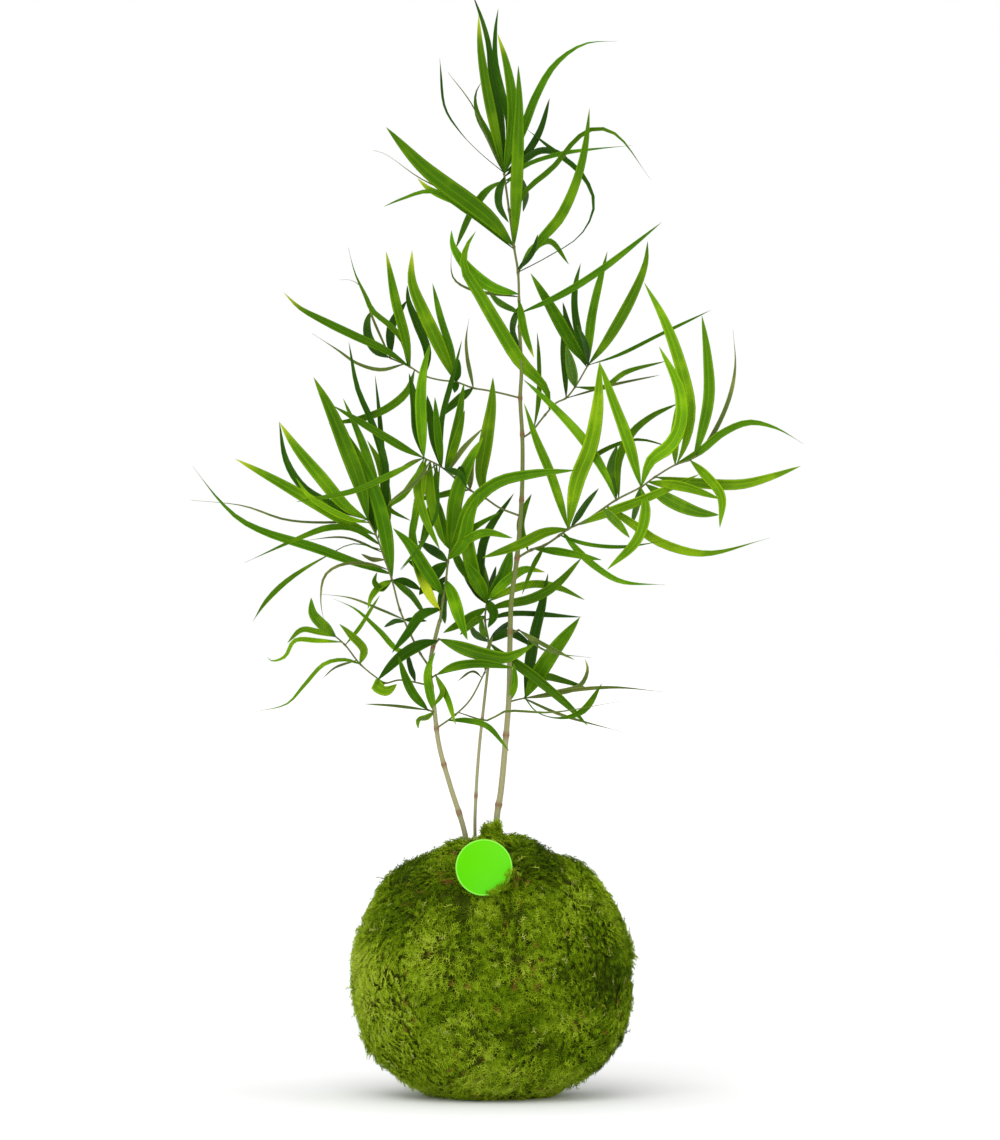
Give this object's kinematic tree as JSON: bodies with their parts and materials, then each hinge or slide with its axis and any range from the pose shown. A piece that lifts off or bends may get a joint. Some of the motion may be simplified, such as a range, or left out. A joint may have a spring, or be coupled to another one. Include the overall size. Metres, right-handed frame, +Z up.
{
  "type": "kokedama moss ball plant",
  "caption": "Moss-wrapped ball of soil with slender canes of narrow sickle-shaped leaves growing out of its crown, and a round tag on a pick in front.",
  "frame": {"origin": "middle of the small flat spot that the ball rests on, at ground level", "axes": "+Z up along the canes, +Y away from the viewer of the picture, +X to the viewer's right; the tag faces -Y"},
  "size_m": [0.3044, 0.1398, 0.5524],
  "materials": {
    "moss": "matt cushions of living moss, olive with yellow-green tips",
    "soil": "matt dark potting soil",
    "tag": "glossy lime green printed disc on a green pick",
    "cane": "satin khaki cane with brown joints",
    "leaf": "satin fresh green leaf with a paler midrib"
  },
  "bodies": {
    "root": {"moss_wrap": "moss", "soil_ball": "soil", "plant_tag": "tag", "cane_tall": "cane", "cane_left": "cane", "cane_middle": "cane", "spray_crown": "leaf", "spray_right_upper": "leaf", "spray_right_main": "leaf", "spray_left_upper": "leaf", "spray_front_left": "leaf", "spray_left_top": "leaf", "spray_left_middle": "leaf", "spray_left_low": "leaf", "spray_left_front": "leaf", "spray_left_bud": "leaf", "spray_left_foot": "leaf", "spray_left_twig": "leaf", "spray_middle_top": "leaf", "spray_right_low": "leaf", "spray_right_bud": "leaf"}
  },
  "joints": []
}
